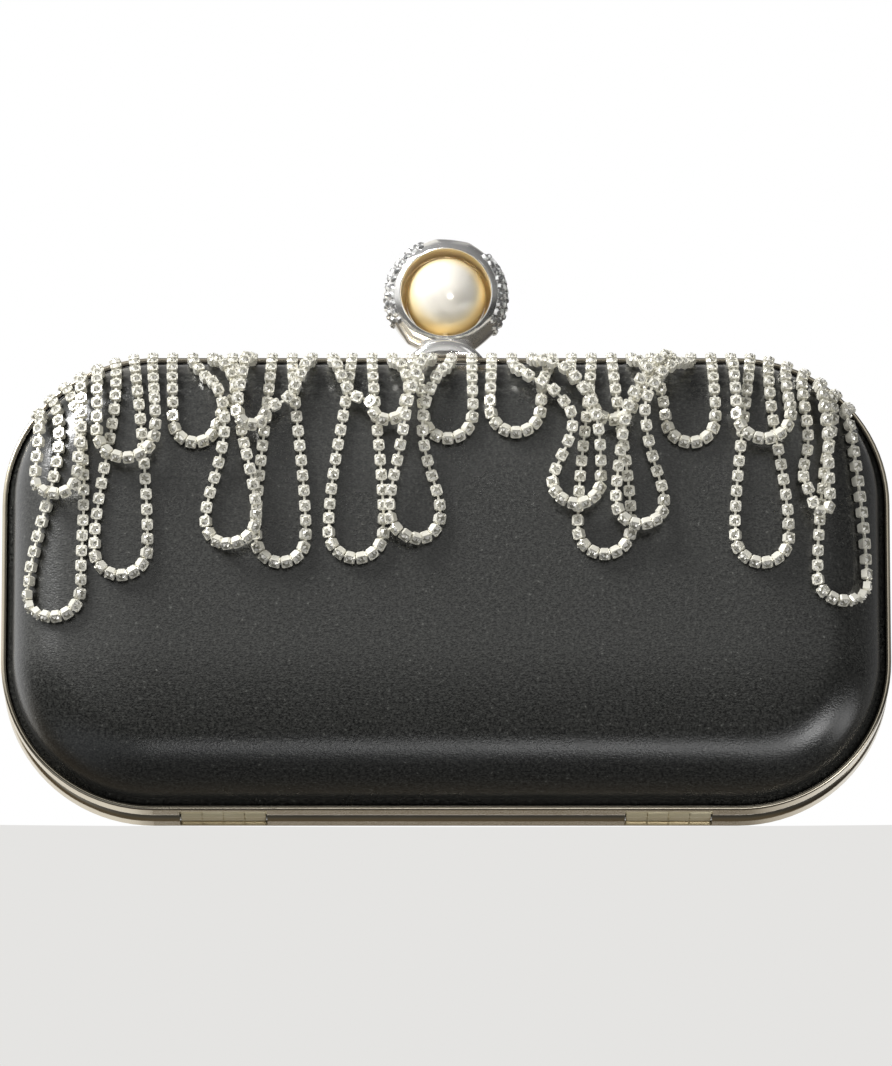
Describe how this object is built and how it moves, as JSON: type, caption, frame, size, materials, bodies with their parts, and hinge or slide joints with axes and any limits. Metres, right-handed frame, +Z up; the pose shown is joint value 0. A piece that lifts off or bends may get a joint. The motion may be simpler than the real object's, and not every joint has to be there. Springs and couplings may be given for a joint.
{
  "type": "evening bag",
  "caption": "Hard box evening clutch: satin-covered halves in a hinged metal rim, a pearl ring clasp on top and a crystal cup-chain fringe.",
  "frame": {"origin": "bottom centre of the whole bag's box, on the ground under the rim frame; the parting plane is 4.35 mm behind it", "axes": "+Z up, the fringed front faces -Y, +X to the right seen from the front"},
  "size_m": [0.21, 0.0647, 0.1427],
  "materials": {
    "frame_metal": "polished, champagne tint",
    "hinge_metal": "polished, pale gold",
    "board": "moulded fibre board",
    "satin": "black satin, fine weave",
    "lining": "black lining cloth",
    "tape": "woven tape",
    "clasp_steel": "plain",
    "ring_metal": "polished",
    "crystal": "faceted, foiled back",
    "pearl": "pearl lustre",
    "cup_chain": "silvered cups with clear stones"
  },
  "bodies": {
    "back_half": {"back_frame": "frame_metal", "back_board": "board", "back_cover": "satin", "back_lining": "lining", "hinge_left_back_leaf": "hinge_metal", "hinge_right_back_leaf": "hinge_metal", "hinge_left_pin": "hinge_metal", "hinge_right_pin": "hinge_metal", "clasp_bracket": "clasp_steel", "clasp_pivot_pin": "clasp_steel", "clasp_spring": "clasp_steel"},
    "front_half": {"front_frame": "frame_metal", "front_board": "board", "front_cover": "satin", "front_lining": "lining", "fringe_tape": "tape", "hinge_left_front_leaf": "hinge_metal", "hinge_right_front_leaf": "hinge_metal", "clasp_catch": "clasp_steel"},
    "clasp": {"clasp_lever": "clasp_steel", "clasp_saddle": "ring_metal", "clasp_ring": "ring_metal", "ring_crystals": "crystal", "pearl": "pearl", "pearl_post": "ring_metal"},
    "fringe_far_left": {"fringe_loop_01": "cup_chain", "fringe_loop_02": "cup_chain"},
    "fringe_left": {"fringe_loop_03": "cup_chain", "fringe_loop_04": "cup_chain"},
    "fringe_mid_left": {"fringe_loop_05": "cup_chain", "fringe_loop_06": "cup_chain", "fringe_loop_07": "cup_chain", "fringe_loop_08": "cup_chain"},
    "fringe_centre": {"fringe_loop_09": "cup_chain", "fringe_loop_10": "cup_chain", "fringe_loop_11": "cup_chain", "fringe_loop_12": "cup_chain"},
    "fringe_mid_right": {"fringe_loop_13": "cup_chain", "fringe_loop_14": "cup_chain", "fringe_loop_15": "cup_chain", "fringe_loop_16": "cup_chain", "fringe_loop_17": "cup_chain", "fringe_loop_18": "cup_chain"},
    "fringe_right": {"fringe_loop_19": "cup_chain", "fringe_loop_20": "cup_chain"},
    "fringe_far_right": {"fringe_loop_21": "cup_chain", "fringe_loop_22": "cup_chain"}
  },
  "joints": [
    {"name": "frame_hinge", "type": "hinge", "parent": "back_half", "child": "front_half", "pos_m": [0, 0.00435, 0.00175], "axis": [1, 0, 0], "range_deg": [0, 100]},
    {"name": "clasp_tilt", "type": "hinge", "parent": "back_half", "child": "clasp", "pos_m": [0, 0.00655, 0.1056], "axis": [-1, 0, 0], "range_deg": [0, 12], "stiffness_Nm_per_rad": 0.2, "springref_deg": -8.59, "deforming": ["clasp_spring"]},
    {"name": "fringe_far_left_swing", "type": "hinge", "parent": "front_half", "child": "fringe_far_left", "pos_m": [-0.09235, -0.00737, 0.09992], "axis": [-0.743, 0, -0.6693], "range_deg": [0, 90]},
    {"name": "fringe_left_swing", "type": "hinge", "parent": "front_half", "child": "fringe_left", "pos_m": [-0.07623, -0.00737, 0.10813], "axis": [-0.9783, 0, -0.2074], "range_deg": [0, 90]},
    {"name": "fringe_mid_left_swing", "type": "hinge", "parent": "front_half", "child": "fringe_mid_left", "pos_m": [-0.048, -0.00737, 0.10927], "axis": [-1, 0, 0], "range_deg": [0, 90]},
    {"name": "fringe_centre_swing", "type": "hinge", "parent": "front_half", "child": "fringe_centre", "pos_m": [-0.0105, -0.00737, 0.10927], "axis": [-1, 0, 0], "range_deg": [0, 90]},
    {"name": "fringe_mid_right_swing", "type": "hinge", "parent": "front_half", "child": "fringe_mid_right", "pos_m": [0.0365, -0.00737, 0.10927], "axis": [-1, 0, 0], "range_deg": [0, 90]},
    {"name": "fringe_right_swing", "type": "hinge", "parent": "front_half", "child": "fringe_right", "pos_m": [0.07432, -0.00737, 0.10849], "axis": [-0.988, 0, 0.1547], "range_deg": [0, 90]},
    {"name": "fringe_far_right_swing", "type": "hinge", "parent": "front_half", "child": "fringe_far_right", "pos_m": [0.09088, -0.00737, 0.10118], "axis": [-0.779, 0, 0.6271], "range_deg": [0, 90]}
  ]
}
